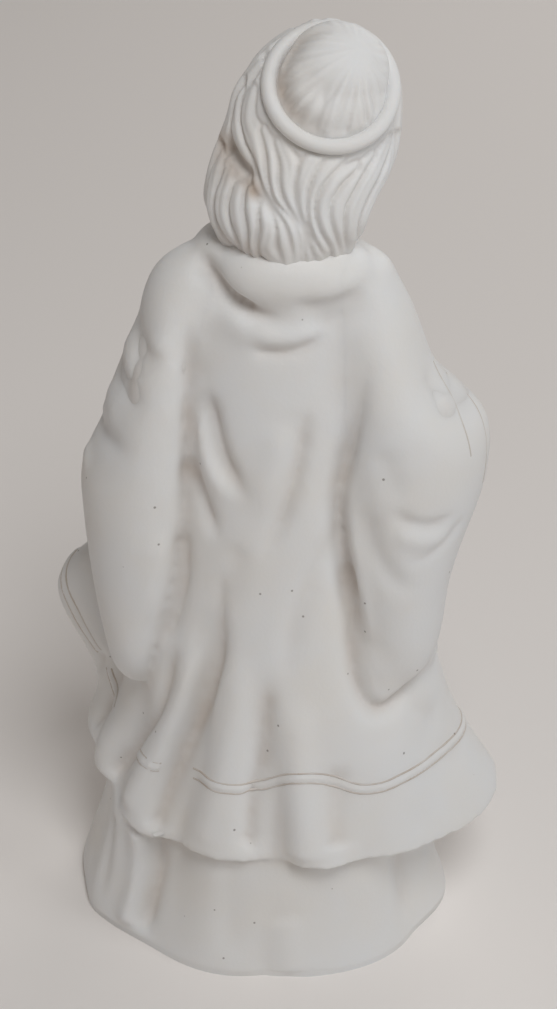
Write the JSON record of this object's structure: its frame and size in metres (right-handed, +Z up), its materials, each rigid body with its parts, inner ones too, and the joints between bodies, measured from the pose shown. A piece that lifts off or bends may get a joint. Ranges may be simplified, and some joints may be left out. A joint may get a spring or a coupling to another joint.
{
  "type": "madonna statue",
  "caption": "Standing praying madonna figure in white bisque porcelain, with wide bell sleeves, long wavy hair and a ring halo.",
  "frame": {"origin": "on the flat standing face, on the figure's upright axis", "axes": "+Z up through the head. The figure faces -Y, so her right side is -X."},
  "size_m": [0.089, 0.0628, 0.1802],
  "materials": {
    "bisque": "unglazed matte white bisque porcelain"
  },
  "bodies": {
    "root": {"lower_tunic": "bisque", "closing_plate": "bisque", "gown_front": "bisque", "robe_body": "bisque", "right_sleeve": "bisque", "left_sleeve": "bisque", "robe_cascade": "bisque", "neckband": "bisque", "head": "bisque", "hair": "bisque", "halo_ring": "bisque", "right_hand": "bisque", "left_hand": "bisque", "right_forearm": "bisque", "left_forearm": "bisque"}
  },
  "joints": []
}
